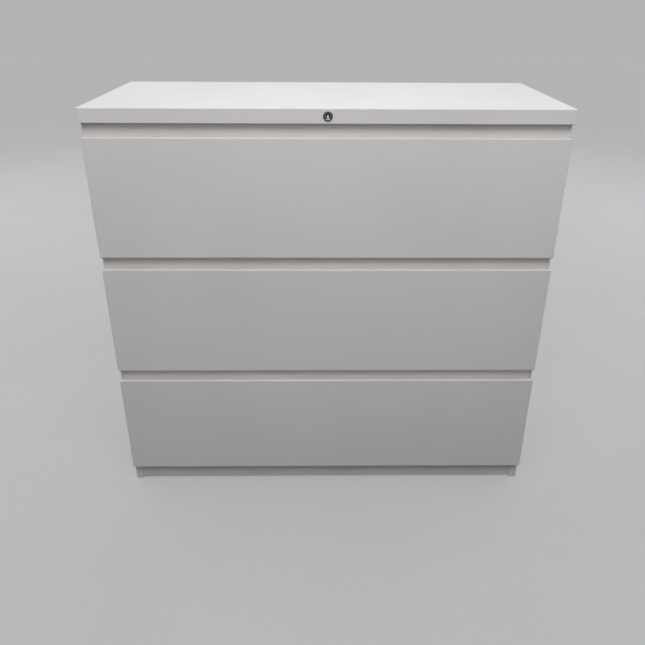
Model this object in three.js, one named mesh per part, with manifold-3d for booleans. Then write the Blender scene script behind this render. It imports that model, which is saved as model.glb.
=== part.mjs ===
// Three-drawer lateral filing cabinet in folded sheet steel.
// Millimetres, +Z up. The drawers open towards -Y. The origin is on the floor under the cabinet's middle.
import * as THREE from 'three';
import { mergeVertices } from 'three/addons/utils/BufferGeometryUtils.js';
import Module from 'manifold-3d';

const wasm = await Module();
wasm.setup();

// Overall size
const WIDTH = 1067;
const BODY_DEPTH = 465;
const DRAWERS = 3;
const FRONT_HEIGHT = 275;
const FINGER_GAP = 29.5;
const TOP_FASCIA = 32;
const KICK_CLEAR = 52.5;

// Sheet, folds and fits
const SHEET = 1;
const BEND = 0.8;
const CORNER_EASE = 0.6;
const RELIEF = 4;
const FIT = 0.3;
const BEND_STEPS = 3;
const WELD = 0.001;

// Case
const FRONT_SETBACK = 16;
const SIDE_FLANGE = 7;
const SIDE_LIP = 7;
const FOOT_FLANGE = 19;
const BACK_FLANGE = 15;
const TOP_FLANGE = 20;
const FLOOR_GAP = 3;
const RAIL_RECESS = 0.5;
const RAIL_DEPTH = 22;
const RAIL_LAP = 12;
const KICK_RECESS = 3;
const KICK_DEPTH = 6;
const KICK_LIFT = 2;
const KICK_LAP = 8;
const BASE_DROP = 8;
const BASE_LIP = 32;
const GLIDE_HEIGHT = 6;
const GLIDE_R = 15;
const GLIDE_CHAMFER = 2;
const GLIDE_STEM_R = 5;
const GLIDE_STEM = 12;
const GLIDE_NUT_R = 8;
const GLIDE_NUT = 6;
const GLIDE_INSET = 60;
const GLIDE_SET = 18;
const GLIDE_FACETS = 20;

// Uprights that carry the slides
const UPRIGHT_DEPTH = 14;
const UPRIGHT_WIDTH = 40;
const UPRIGHT_FOOT = 9;
const UPRIGHT_SHORT = 25;
const SLOTS_PER_DRAWER = 4;
const SLOT_WIDTH = 6;
const SLOT_HEIGHT = 20;
const HOOK_NECK = 8;
const HOOK_DROP = 6;
const HOOK_T = 2;

// Telescopic slides
const SLIDE_HEIGHT = 45;
const SLIDE_WIDTH = 12.7;
const SLIDE_SHEET = 1.2;
const SLIDE_LIP = 4.5;
const SLIDE_RUN = 0.5;
const SLIDE_RISE = 60;
const SLIDE_REAR = 12;

// Drawers
const BUMPER_GAP = 1;
const PULL_DEPTH = 7;
const PULL_LIP = 8;
const PAN_LIP = 25;
const TRAY_LIFT = 16;
const TRAY_REAR = 10;
const TRAY_BEADS = 3;
const BEAD_HEIGHT = 2;
const BEAD_WIDTH = 14;
const BEAD_SLOPE = 3;
const FILE_CLEAR = 8;
const SIDE_HEM = 8;
const SIDE_FOOT = 12;
const FRONT_LUG = 12;
const HANG_SHEET = 1.2;
const HANG_BEND = 0.5;
const HANG_LEG = 12;
const HANG_STEP = 8;
const HANG_DROP = 10;
const HANG_FIN = 12;

// Lock train
const COLLAR_R = 10.5;
const COLLAR_T = 1.5;
const COLLAR_CHAMFER = 0.8;
const MOUTH_R = 8;
const MOUTH_DEPTH = 3;
const BARREL_R = 8.5;
const BARREL_LENGTH = 20;
const PLUG_R = 6.5;
const PLUG_CHAMFER = 0.5;
const KEYWAY_R = 4.6;
const KEYWAY_DEPTH = 5;
const POST_R = 2.3;
const TAIL_R = 3;
const CLIP_R = 4;
const CLIP_T = 1.2;
const NUT_R = 11.5;
const NUT_T = 5;
const CAM_T = 2;
const CAM_HUB_R = 6;
const CAM_TIP_R = 4;
const LOCK_TRAVEL = 10;
const PIN_R = 2;
const PIN_RUN = 0.5;
const PIN_END = 0.6;
const LINK_T = 2;
const LINK_HEIGHT = 15;
const LINK_SET = 3;
const LINK_END = 6;
const RAMP_EDGE = 4;
const BAR_WIDTH = 12;
const BAR_T = 2;
const BAR_RUN = 0.8;
const BAR_TAIL = 25;
const TAB_HEIGHT = 8;
const TAB_REACH = 6;
const TAB_SET = 2;
const TAB_DROP = 18;
const TAB_ROOT = 8;
const TAB_SINK = 0.2;
const NOTCH_RUN = 1.5;
const LOCK_FACETS = 32;
const PIN_FACETS = 16;

// Heights
const PITCH = FRONT_HEIGHT + FINGER_GAP;
const HEIGHT = KICK_CLEAR + DRAWERS * PITCH + TOP_FASCIA;
const SIDE_TOP = HEIGHT - SHEET - FIT;
const FASCIA_BOTTOM = HEIGHT - TOP_FASCIA;
const RAIL_TOP = FASCIA_BOTTOM - FIT;
const BASE_TOP = KICK_CLEAR - BASE_DROP;
const LOCK_Z = HEIGHT - TOP_FASCIA / 2;
const WALL_TOP = FRONT_HEIGHT - RAIL_LAP - FILE_CLEAR - HANG_FIN;
const TAB_Z = WALL_TOP - TAB_DROP;

// Places from front to back
const COLLAR_PROUD = COLLAR_T + FIT;
const FACE_Y = (COLLAR_PROUD - BODY_DEPTH) / 2;
const BACK_Y = FACE_Y + BODY_DEPTH;
const FRONT_DEPTH = FRONT_SETBACK - BUMPER_GAP;
const PAN_BACK = FACE_Y + FRONT_DEPTH;
const CASE_FRONT = FACE_Y + FRONT_SETBACK;
const RAIL_FACE = CASE_FRONT + RAIL_RECESS;
const RAIL_BACK = RAIL_FACE + RAIL_DEPTH;
const KICK_FACE = CASE_FRONT + KICK_RECESS;
const BASE_FRONT = KICK_FACE + KICK_DEPTH + FIT;
const LINK_FRONT = CASE_FRONT + SIDE_LIP + LINK_SET;
const LINK_BACK = LINK_FRONT + LINK_T;
const BAR_FRONT = LINK_BACK + FIT;
const BAR_BACK = BAR_FRONT + BAR_T;
const TAB_Y = BAR_BACK + TAB_SET;
const UPRIGHT_FRONT = RAIL_BACK + FIT;
const BACK_PANEL_Y = BACK_Y - SHEET - FIT;
const CASE_BACK = BACK_PANEL_Y - SHEET - FIT;
const BASE_BACK = CASE_BACK - SHEET - FIT;
const UPRIGHT_REAR = BASE_BACK - UPRIGHT_WIDTH;
const SLIDE_BACK = BASE_BACK - SLIDE_REAR;
const TRAY_FRONT = PAN_BACK + FIT;
const TRAY_BACK = SLIDE_BACK - TRAY_REAR;

// Places from the middle out to one side
const CAP_X = WIDTH / 2;
const CORNER = BEND + SHEET + CORNER_EASE;
const SIDE_X = CAP_X - SHEET - FIT;
const WALL_X = SIDE_X - SHEET;
const CASE_X = WALL_X - FIT;
const UPRIGHT_X = CASE_X - UPRIGHT_DEPTH;
const SLIDE_X = UPRIGHT_X - FIT;
const DRAWER_X = SLIDE_X - SLIDE_WIDTH - FIT;
const TRAY_X = DRAWER_X - SHEET - FIT;
const RAIL_X = SIDE_X - SIDE_FLANGE - FIT;
const BAR_X = SLIDE_X + BAR_RUN;
const BAR_OUT = BAR_X + BAR_WIDTH;

// Finishes
const WHITE_PAINT = { color: 0xe6e5e1, roughness: 0.5, metalness: 0 };
const ZINC = { color: 0xb4b7ba, roughness: 0.35, metalness: 0.9 };
const CHROME = { color: 0xc9cacc, roughness: 0.15, metalness: 1 };
const DARK_STEEL = { color: 0x3a3a3d, roughness: 0.4, metalness: 0.8 };
const BLACK_NYLON = { color: 0x1c1c1d, roughness: 0.6, metalness: 0 };

const X_AXIS = new THREE.Vector3(1, 0, 0);
const Y_AXIS = new THREE.Vector3(0, 1, 0);
const Z_AXIS = new THREE.Vector3(0, 0, 1);
const QUARTER = Math.PI / 2;
const SIDES = [['left', -1], ['right', 1]];

// Height of a drawer front's lower edge, counted from the top drawer
function frontBottom(drawer) {
  return KICK_CLEAR + (DRAWERS - 1 - drawer) * PITCH;
}

// Closed surface to solid, with shared corners merged
function solidOf(geometry) {
  const bare = new THREE.BufferGeometry();
  bare.setAttribute('position', geometry.getAttribute('position'));
  bare.setIndex(geometry.index);
  const welded = mergeVertices(bare, WELD);
  const corners = welded.index.array;
  const triVerts = [];
  for (let i = 0; i < corners.length; i += 3) {
    const [a, b, c] = corners.slice(i, i + 3);
    if (a !== b && b !== c && c !== a) triVerts.push(a, b, c);
  }
  const vertProperties = new Float32Array(welded.getAttribute('position').array);
  const mesh = new wasm.Mesh({ numProp: 3, vertProperties, triVerts: new Uint32Array(triVerts) });
  return new wasm.Manifold(mesh);
}

// Solid back to surface
function surfaceOf(solid) {
  const { vertProperties, triVerts } = solid.getMesh();
  const geometry = new THREE.BufferGeometry();
  geometry.setAttribute('position', new THREE.BufferAttribute(vertProperties, 3));
  geometry.setIndex(new THREE.BufferAttribute(triVerts, 1));
  return geometry;
}

function join(...pieces) {
  return surfaceOf(pieces.map(solidOf).reduce((whole, piece) => whole.add(piece)));
}

function cut(piece, ...tools) {
  return surfaceOf(tools.map(solidOf).reduce((rest, tool) => rest.subtract(tool), solidOf(piece)));
}

// The same piece for the other side of the cabinet
function mirrored(geometry) {
  const copy = geometry.index ? geometry.toNonIndexed() : geometry.clone();
  copy.scale(-1, 1, 1);
  const count = copy.getAttribute('position').count;
  copy.setIndex(Array.from({ length: count }, (_, i) => i - (i % 3) + ((3 - (i % 3)) % 3)));
  return copy;
}

function box([x0, x1], [y0, y1], [z0, z1]) {
  const block = new THREE.BoxGeometry(x1 - x0, y1 - y0, z1 - z0);
  return block.translate((x0 + x1) / 2, (y0 + y1) / 2, (z0 + z1) / 2);
}

function extruded(shape, length) {
  return new THREE.ExtrudeGeometry(shape, { depth: length, bevelEnabled: false });
}

// Profile in y and z, drawn out along x
function alongX(shape, from, to) {
  const basis = new THREE.Matrix4().makeBasis(Y_AXIS, Z_AXIS, X_AXIS);
  return extruded(shape, to - from).applyMatrix4(basis).translate(from, 0, 0);
}

// Profile in x and z, drawn out along y
function alongY(shape, from, to) {
  const basis = new THREE.Matrix4().makeBasis(X_AXIS, Z_AXIS, Y_AXIS.clone().negate());
  return extruded(shape, to - from).applyMatrix4(basis).translate(0, to, 0);
}

// Profile in x and y, drawn out along z
function alongZ(shape, from, to) {
  return extruded(shape, to - from).translate(0, 0, from);
}

// Round bar along y
function pinAlongY(radius, [x, z], from, to, facets) {
  return new THREE.CylinderGeometry(radius, radius, to - from, facets).translate(x, (from + to) / 2, z);
}

// Turned piece about the y axis, from radius and place pairs
function turned(profile, facets) {
  return new THREE.LatheGeometry(profile.map(([r, y]) => new THREE.Vector2(r, y)), facets);
}

function arcPoints([x, y], radius, from, to, steps) {
  return Array.from({ length: steps + 1 }, (_, i) => {
    const angle = from + ((to - from) * i) / steps;
    return new THREE.Vector2(x + radius * Math.cos(angle), y + radius * Math.sin(angle));
  });
}

function roundedRectangle(width, height, radius) {
  const x = width / 2 - radius;
  const y = height / 2 - radius;
  const centres = [[x, y], [-x, y], [-x, -y], [x, -y]];
  const arcs = centres.flatMap((centre, i) => {
    return arcPoints(centre, radius, i * QUARTER, (i + 1) * QUARTER, BEND_STEPS);
  });
  return new THREE.Shape(arcs);
}

// Slot with round ends, from one centre to the other
function slotPath([x0, y0], [x1, y1], radius) {
  const angle = Math.atan2(y1 - y0, x1 - x0);
  const far = arcPoints([x1, y1], radius, angle - QUARTER, angle + QUARTER, PIN_FACETS / 2);
  const near = arcPoints([x0, y0], radius, angle + QUARTER, angle + 3 * QUARTER, PIN_FACETS / 2);
  return new THREE.Path([...far, ...near]);
}

// One side of a fold at a corner of the fold line, as an arc or, with no turn, a point
function foldArc(corner, into, out, offset, sheet, bend) {
  const turn = Math.atan2(into.cross(out), into.dot(out));
  const half = Math.tan(turn / 2);
  const normal = new THREE.Vector2(-into.y, into.x);
  const mitre = corner.clone().addScaledVector(normal, offset).addScaledVector(into, -offset * half);
  if (turn === 0) return [mitre];
  const side = Math.sign(turn);
  const radius = turn > 0 === offset > 0 ? bend : bend + sheet;
  const centre = mitre.addScaledVector(into, -radius * Math.abs(half)).addScaledVector(normal, side * radius);
  const start = normal.multiplyScalar(-side).angle();
  return arcPoints([centre.x, centre.y], radius, start, start + turn, BEND_STEPS);
}

// Outline of a folded strip of sheet, which lies to the left of its fold line
function foldedStrip(foldLine, sheet = SHEET, bend = BEND) {
  const line = foldLine.map(([a, b]) => new THREE.Vector2(a, b));
  const runs = line.slice(1).map((point, i) => point.clone().sub(line[i]).normalize());
  const faces = [0, sheet].map((offset) => line.flatMap((corner, i) => {
    const into = runs[Math.max(i - 1, 0)];
    const out = runs[Math.min(i, runs.length - 1)];
    return foldArc(corner, into, out, offset, sheet, bend);
  }));
  return new THREE.Shape([...faces[0], ...faces[1].reverse()]);
}

// Block whose face at z = 0 has rounded edges
function easedBlock(width, height, depth, edge, corner) {
  const bevel = { bevelThickness: edge, bevelSize: edge, bevelOffset: -edge, bevelSegments: BEND_STEPS };
  const block = new THREE.ExtrudeGeometry(roundedRectangle(width, height, corner), { depth, ...bevel });
  return block.translate(0, 0, edge);
}

// Pan with its face at z = 0 and four walls folded back from it
function foldedPan(width, height, depth) {
  const outer = easedBlock(width, height, depth, BEND + SHEET, CORNER);
  const inner = easedBlock(width - 2 * SHEET, height - 2 * SHEET, depth, BEND, CORNER - SHEET);
  const beyond = box([-width, width], [-height, height], [depth, 2 * depth + CORNER]);
  return cut(outer, inner.translate(0, 0, SHEET), beyond);
}

// Top with a skirt on four sides and a return under its front edge
function topCap() {
  const reach = CAP_X - CORNER;
  const pan = foldedPan(WIDTH, BODY_DEPTH, TOP_FASCIA).rotateX(Math.PI);
  pan.translate(0, (FACE_Y + BACK_Y) / 2, HEIGHT);
  const wall = [FACE_Y - SHEET, FACE_Y + CORNER];
  const foot = box([-reach, reach], wall, [FASCIA_BOTTOM - SHEET, FASCIA_BOTTOM + RELIEF]);
  const returnLine = [
    [FACE_Y, FASCIA_BOTTOM + 2 * RELIEF],
    [FACE_Y, FASCIA_BOTTOM],
    [CASE_FRONT - FIT, FASCIA_BOTTOM],
  ];
  const lap = reach + FIT / 2;
  const fold = alongX(foldedStrip(returnLine), -lap, lap);
  const hole = pinAlongY(BARREL_R + FIT, [0, LOCK_Z], FACE_Y - SHEET, FACE_Y + 2 * SHEET, LOCK_FACETS);
  return cut(join(cut(pan, foot), fold), hole);
}

// Right side panel: web, back flange, front flange with a lip, wider at the foot, and a flange under the top
function sidePanel() {
  const profile = (flange) => foldedStrip([
    [SIDE_X - flange, CASE_FRONT + SIDE_LIP],
    [SIDE_X - flange, CASE_FRONT],
    [SIDE_X, CASE_FRONT],
    [SIDE_X, CASE_BACK],
    [SIDE_X - BACK_FLANGE, CASE_BACK],
  ]);
  const upper = alongZ(profile(SIDE_FLANGE), KICK_CLEAR - RELIEF, SIDE_TOP - RELIEF);
  const foot = alongZ(profile(FOOT_FLANGE), FLOOR_GAP, KICK_CLEAR);
  const ledge = foldedStrip([
    [SIDE_X, SIDE_TOP - 2 * RELIEF],
    [SIDE_X, SIDE_TOP],
    [SIDE_X - TOP_FLANGE, SIDE_TOP],
  ]);
  const ledgeBack = BACK_PANEL_Y - BACK_FLANGE - RELIEF;
  return join(upper, foot, alongY(ledge, RAIL_BACK, ledgeBack));
}

// Back panel with a flange under the top
function backPanel() {
  const profile = foldedStrip([
    [BACK_PANEL_Y, FLOOR_GAP],
    [BACK_PANEL_Y, SIDE_TOP],
    [BACK_PANEL_Y - BACK_FLANGE, SIDE_TOP],
  ]);
  return alongX(profile, -WALL_X, WALL_X);
}

// Places of the four levelling glides
function glidePlaces() {
  const depths = [['front', BASE_FRONT + GLIDE_SET], ['rear', BASE_BACK - GLIDE_SET]];
  return depths.flatMap(([end, y]) => SIDES.map(([name, side]) => {
    return { name: `glide_${end}_${name}`, x: side * (WALL_X - GLIDE_INSET), y };
  }));
}

// Base folded down at front and back, with lips that hold the glides
function basePan() {
  const profile = foldedStrip([
    [BASE_BACK - BASE_LIP, GLIDE_HEIGHT],
    [BASE_BACK, GLIDE_HEIGHT],
    [BASE_BACK, BASE_TOP],
    [BASE_FRONT, BASE_TOP],
    [BASE_FRONT, GLIDE_HEIGHT],
    [BASE_FRONT + BASE_LIP, GLIDE_HEIGHT],
  ]);
  const bore = GLIDE_STEM_R + FIT;
  const holes = glidePlaces().map(({ x, y }) => {
    const hole = new THREE.CylinderGeometry(bore, bore, GLIDE_HEIGHT, GLIDE_FACETS).rotateX(QUARTER);
    return hole.translate(x, y, GLIDE_HEIGHT);
  });
  return cut(alongX(profile, -CASE_X, CASE_X), ...holes);
}

// Glide: foot, stem through the lip and its nut
function glide() {
  const footTop = GLIDE_HEIGHT - FIT;
  const nutBottom = GLIDE_HEIGHT + SHEET + FIT;
  const profile = [
    [0, 0],
    [GLIDE_R - GLIDE_CHAMFER, 0],
    [GLIDE_R, GLIDE_CHAMFER],
    [GLIDE_R, footTop - GLIDE_CHAMFER],
    [GLIDE_R - GLIDE_CHAMFER, footTop],
    [GLIDE_STEM_R, footTop],
    [GLIDE_STEM_R, nutBottom],
    [GLIDE_NUT_R, nutBottom],
    [GLIDE_NUT_R, nutBottom + GLIDE_NUT],
    [GLIDE_STEM_R, nutBottom + GLIDE_NUT],
    [GLIDE_STEM_R, nutBottom + GLIDE_STEM],
    [0, nutBottom + GLIDE_STEM],
  ];
  return turned(profile, GLIDE_FACETS).rotateX(QUARTER);
}

// Channel across the case, with its flanges turned back
function crossChannel(face, back, bottom, top, halfWidth) {
  const profile = foldedStrip([[back, top], [face, top], [face, bottom], [back, bottom]]);
  return alongX(profile, -halfWidth, halfWidth);
}

function kickRail() {
  const bottom = FLOOR_GAP + KICK_LIFT;
  const halfWidth = SIDE_X - FOOT_FLANGE - FIT;
  return crossChannel(KICK_FACE, BASE_FRONT - FIT, bottom, KICK_CLEAR + KICK_LAP, halfWidth);
}

// Rail behind the finger gap over a drawer, notched at the right end where the lock bar runs through it
function gapRail(drawer) {
  const bottom = frontBottom(drawer) + FRONT_HEIGHT - RAIL_LAP;
  const top = drawer === 0 ? RAIL_TOP : frontBottom(drawer - 1) + RAIL_LAP;
  const rail = crossChannel(RAIL_FACE, RAIL_BACK, bottom, top, RAIL_X);
  const depth = [BAR_FRONT - BAR_RUN, BAR_BACK + BAR_RUN];
  return cut(rail, box([BAR_X - BAR_RUN, WALL_X], depth, [bottom - SHEET, top + SHEET]));
}

// Right upright: a hat section with a column of slots
function upright(front) {
  const back = front + UPRIGHT_WIDTH;
  const profile = foldedStrip([
    [CASE_X, front],
    [CASE_X, front + UPRIGHT_FOOT],
    [UPRIGHT_X + SHEET, front + UPRIGHT_FOOT],
    [UPRIGHT_X + SHEET, back - UPRIGHT_FOOT],
    [CASE_X, back - UPRIGHT_FOOT],
    [CASE_X, back],
  ]);
  const top = HEIGHT - UPRIGHT_SHORT;
  const middle = front + UPRIGHT_WIDTH / 2;
  const across = [middle - SLOT_WIDTH / 2, middle + SLOT_WIDTH / 2];
  const lowest = frontBottom(DRAWERS - 1) + SLIDE_RISE;
  const pitch = PITCH / SLOTS_PER_DRAWER;
  const places = Array.from({ length: DRAWERS * SLOTS_PER_DRAWER }, (_, i) => lowest + i * pitch);
  const through = [UPRIGHT_X - SHEET, UPRIGHT_X + 2 * SHEET];
  const slots = places.filter((z) => z + SLOT_HEIGHT / 2 + RELIEF < top).map((z) => {
    return box(through, across, [z - SLOT_HEIGHT / 2, z + SLOT_HEIGHT / 2]);
  });
  return cut(alongZ(profile, BASE_TOP + FIT, top), ...slots);
}

// Left slide members, in a frame at the slide's middle height; each runs inside the one before it
const MID_HALF = SLIDE_HEIGHT / 2 - SLIDE_LIP - SLIDE_RUN;
const INNER_HALF = MID_HALF - SLIDE_LIP - SLIDE_RUN;

function slideChannel(web, mouth, half) {
  const tip = half - SLIDE_LIP;
  const profile = foldedStrip(
    [[mouth, tip], [mouth, half], [web, half], [web, -half], [mouth, -half], [mouth, -tip]],
    SLIDE_SHEET,
  );
  return alongY(profile, UPRIGHT_FRONT, SLIDE_BACK);
}

// The outer member has a hook at each upright, which drops over the lower edge of a slot
function slideOuter() {
  const mouth = -DRAWER_X - FIT - SLIDE_SHEET - 2 * SLIDE_RUN;
  const root = -SLIDE_X + SLIDE_SHEET / 2;
  const behind = -UPRIGHT_X - SHEET - FIT;
  const sill = FIT - SLOT_HEIGHT / 2;
  const outline = [
    [root, sill],
    [root, sill + HOOK_NECK],
    [behind - HOOK_T, sill + HOOK_NECK],
    [behind - HOOK_T, sill - HOOK_DROP],
    [behind, sill - HOOK_DROP],
    [behind, sill],
  ];
  const shape = new THREE.Shape(outline.map(([x, z]) => new THREE.Vector2(x, z)));
  const hooks = [UPRIGHT_FRONT, UPRIGHT_REAR].map((front) => {
    const middle = front + UPRIGHT_WIDTH / 2;
    return alongY(shape, middle - SLOT_WIDTH / 2 + FIT, middle + SLOT_WIDTH / 2 - FIT);
  });
  return join(slideChannel(-SLIDE_X, mouth, SLIDE_HEIGHT / 2), ...hooks);
}

function slideMiddle() {
  const mouth = -DRAWER_X - FIT - SLIDE_SHEET - SLIDE_RUN;
  return slideChannel(-SLIDE_X + 2 * SLIDE_SHEET, mouth, MID_HALF);
}

function slideInner() {
  const web = -DRAWER_X - FIT;
  const mouth = -SLIDE_X + 3 * SLIDE_SHEET + 2 * SLIDE_RUN;
  const profile = foldedStrip(
    [[mouth, -INNER_HALF], [web, -INNER_HALF], [web, INNER_HALF], [mouth, INNER_HALF]],
    SLIDE_SHEET,
  );
  return alongY(profile, UPRIGHT_FRONT, SLIDE_BACK);
}

// Drawer front: a pan with a finger pull along its top edge and lips behind its other three walls
function drawerFront() {
  const reach = SIDE_X - CORNER;
  const lap = reach + FIT / 2;
  const basis = new THREE.Matrix4().makeBasis(X_AXIS.clone().negate(), Z_AXIS, Y_AXIS);
  const pan = foldedPan(2 * SIDE_X, FRONT_HEIGHT, FRONT_DEPTH).applyMatrix4(basis);
  pan.translate(0, FACE_Y, FRONT_HEIGHT / 2);
  const pullY = FACE_Y + PULL_DEPTH;
  const behind = PAN_BACK + SHEET;
  const lipStart = PAN_BACK - RELIEF;
  const rise = [CORNER, FRONT_HEIGHT - CORNER];
  const trimmed = cut(
    pan,
    box([-reach, reach], [pullY - RELIEF, behind], [FRONT_HEIGHT - CORNER, FRONT_HEIGHT + SHEET]),
    box([-reach, reach], [lipStart, behind], [-SHEET, CORNER]),
    box([-CAP_X, -reach], [lipStart, behind], rise),
    box([reach, CAP_X], [lipStart, behind], rise),
  );
  const pull = foldedStrip([
    [pullY, FRONT_HEIGHT - PULL_LIP],
    [pullY, FRONT_HEIGHT],
    [pullY - RELIEF - SHEET, FRONT_HEIGHT],
  ]);
  const bottomLip = foldedStrip([[lipStart - SHEET, 0], [PAN_BACK, 0], [PAN_BACK, PAN_LIP]]);
  const sideLip = foldedStrip([[SIDE_X, lipStart - SHEET], [SIDE_X, PAN_BACK], [SIDE_X - PAN_LIP, PAN_BACK]]);
  const rightLip = alongZ(sideLip, rise[0] - FIT / 2, rise[1] + FIT / 2);
  return join(trimmed, alongX(pull, -lap, lap), alongX(bottomLip, -lap, lap), rightLip, mirrored(rightLip));
}

// Front wall, floor and back wall of a drawer, in one fold, with stiffening beads along the floor
function drawerTray() {
  const pitch = (TRAY_BACK - TRAY_FRONT) / (TRAY_BEADS + 1);
  const beads = Array.from({ length: TRAY_BEADS }, (_, i) => TRAY_FRONT + (i + 1) * pitch).flatMap((y) => [
    [y - BEAD_WIDTH / 2, TRAY_LIFT],
    [y - BEAD_WIDTH / 2 + BEAD_SLOPE, TRAY_LIFT + BEAD_HEIGHT],
    [y + BEAD_WIDTH / 2 - BEAD_SLOPE, TRAY_LIFT + BEAD_HEIGHT],
    [y + BEAD_WIDTH / 2, TRAY_LIFT],
  ]);
  const profile = foldedStrip([
    [TRAY_FRONT, WALL_TOP],
    [TRAY_FRONT, TRAY_LIFT],
    ...beads,
    [TRAY_BACK, TRAY_LIFT],
    [TRAY_BACK, WALL_TOP],
  ]);
  return alongX(profile, -TRAY_X, TRAY_X);
}

// Right drawer side: a foot under the tray, a hem over its walls and a lug against the front
function drawerSide() {
  const bottom = TRAY_LIFT - FIT - SHEET;
  const top = WALL_TOP + FIT + SHEET;
  const profile = foldedStrip([
    [DRAWER_X - SIDE_FOOT, bottom],
    [DRAWER_X, bottom],
    [DRAWER_X, top],
    [DRAWER_X - SIDE_HEM, top],
  ]);
  const plate = alongY(profile, TRAY_FRONT + RELIEF, TRAY_BACK);
  const lug = foldedStrip([
    [DRAWER_X - SHEET, TRAY_FRONT + 2 * RELIEF],
    [DRAWER_X - SHEET, TRAY_FRONT],
    [DRAWER_X + FRONT_LUG, TRAY_FRONT],
  ]);
  return join(plate, alongZ(lug, bottom + RELIEF, top - RELIEF));
}

// The right side also has the angle tab that the lock bar stops, sunk a little where it is welded on
function lockingSide() {
  const seat = DRAWER_X + SHEET - TAB_SINK;
  const tab = foldedStrip([
    [seat, TAB_Y - TAB_ROOT],
    [seat, TAB_Y],
    [BAR_X + TAB_REACH, TAB_Y],
  ]);
  return join(drawerSide(), alongZ(tab, TAB_Z - TAB_HEIGHT / 2, TAB_Z + TAB_HEIGHT / 2));
}

// Hanging-file rail: a clip over the wall's top edge, a step and the fin that the file hooks ride on
function hangRail() {
  const inner = TRAY_FRONT + SHEET + FIT;
  const fin = inner + HANG_STEP;
  const shelf = WALL_TOP - HANG_DROP;
  const profile = foldedStrip(
    [
      [TRAY_FRONT - FIT, WALL_TOP - HANG_LEG],
      [TRAY_FRONT - FIT, WALL_TOP + FIT],
      [inner, WALL_TOP + FIT],
      [inner, shelf],
      [fin, shelf],
      [fin, WALL_TOP + HANG_FIN],
    ],
    HANG_SHEET,
    HANG_BEND,
  );
  const halfLength = DRAWER_X - SIDE_HEM - FIT;
  return alongX(profile, -halfLength, halfLength);
}

// Lock barrel: a collar against the fascia and a tube through it, in a frame at the fascia's face
function lockHousing() {
  const bore = PLUG_R + FIT;
  const profile = [
    [MOUTH_R, -COLLAR_PROUD],
    [COLLAR_R - COLLAR_CHAMFER, -COLLAR_PROUD],
    [COLLAR_R, COLLAR_CHAMFER - COLLAR_PROUD],
    [COLLAR_R, -FIT],
    [BARREL_R, -FIT],
    [BARREL_R, BARREL_LENGTH],
    [bore, BARREL_LENGTH],
    [bore, MOUTH_DEPTH - COLLAR_PROUD],
    [MOUTH_R, -COLLAR_PROUD],
  ];
  return turned(profile, LOCK_FACETS);
}

const CAM_FRONT = BARREL_LENGTH + 2 * FIT;
const CAM_BACK = CAM_FRONT + CAM_T;

// Plug with a ring-shaped keyway round a post, and a tail with the clip that keeps the cam on
function lockPlug() {
  const face = MOUTH_DEPTH - COLLAR_PROUD;
  const shoulder = BARREL_LENGTH + FIT;
  const profile = [
    [0, face],
    [POST_R - PLUG_CHAMFER, face],
    [POST_R, face + PLUG_CHAMFER],
    [POST_R, face + KEYWAY_DEPTH],
    [KEYWAY_R, face + KEYWAY_DEPTH],
    [KEYWAY_R, face + PLUG_CHAMFER],
    [KEYWAY_R + PLUG_CHAMFER, face],
    [PLUG_R - PLUG_CHAMFER, face],
    [PLUG_R, face + PLUG_CHAMFER],
    [PLUG_R, shoulder],
    [TAIL_R, shoulder],
    [TAIL_R, CAM_BACK + FIT],
    [CLIP_R, CAM_BACK + FIT],
    [CLIP_R, CAM_BACK + FIT + CLIP_T],
    [0, CAM_BACK + FIT + CLIP_T],
  ];
  return turned(profile, LOCK_FACETS);
}

// Hexagon nut behind the fascia
function lockNut() {
  const hexagon = new THREE.Shape(arcPoints([0, 0], NUT_R, 0, 2 * Math.PI, 6).slice(1));
  const turn = arcPoints([0, 0], BARREL_R + FIT, 0, 2 * Math.PI, LOCK_FACETS).slice(1);
  hexagon.holes.push(new THREE.Path(turn));
  return alongY(hexagon, SHEET + FIT, SHEET + FIT + NUT_T);
}

// The crank pin swings 45 degrees each way from straight down, which moves the link across by the travel
const CRANK_R = LOCK_TRAVEL / Math.SQRT2;
const PIN_X = LOCK_TRAVEL / 2;
const PIN_SLOT_R = PIN_R + PIN_RUN;
const RAMP_X = BAR_OUT - LOCK_TRAVEL - PIN_SLOT_R - RAMP_EDGE;
const RAMP_Z = FASCIA_BOTTOM + RAMP_EDGE + PIN_SLOT_R;

// Cam on the plug's tail, with its crank pin
function lockCam() {
  const aim = -QUARTER / 2;
  const tip = [CRANK_R * Math.cos(aim), CRANK_R * Math.sin(aim)];
  const spread = Math.acos((CAM_HUB_R - CAM_TIP_R) / CRANK_R);
  const hub = arcPoints([0, 0], CAM_HUB_R, aim + spread, aim - spread + 2 * Math.PI, PIN_FACETS);
  const end = arcPoints(tip, CAM_TIP_R, aim - spread, aim + spread, PIN_FACETS / 2);
  const lever = new THREE.Shape([...hub, ...end]);
  lever.holes.push(new THREE.Path(arcPoints([0, 0], TAIL_R + FIT, 0, 2 * Math.PI, PIN_FACETS).slice(1)));
  const pinEnd = LINK_BACK - FACE_Y - PIN_END;
  const pin = pinAlongY(PIN_R, tip, CAM_BACK - CAM_T / 2, pinEnd, PIN_FACETS);
  return join(alongY(lever, CAM_FRONT, CAM_BACK), pin);
}

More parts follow.
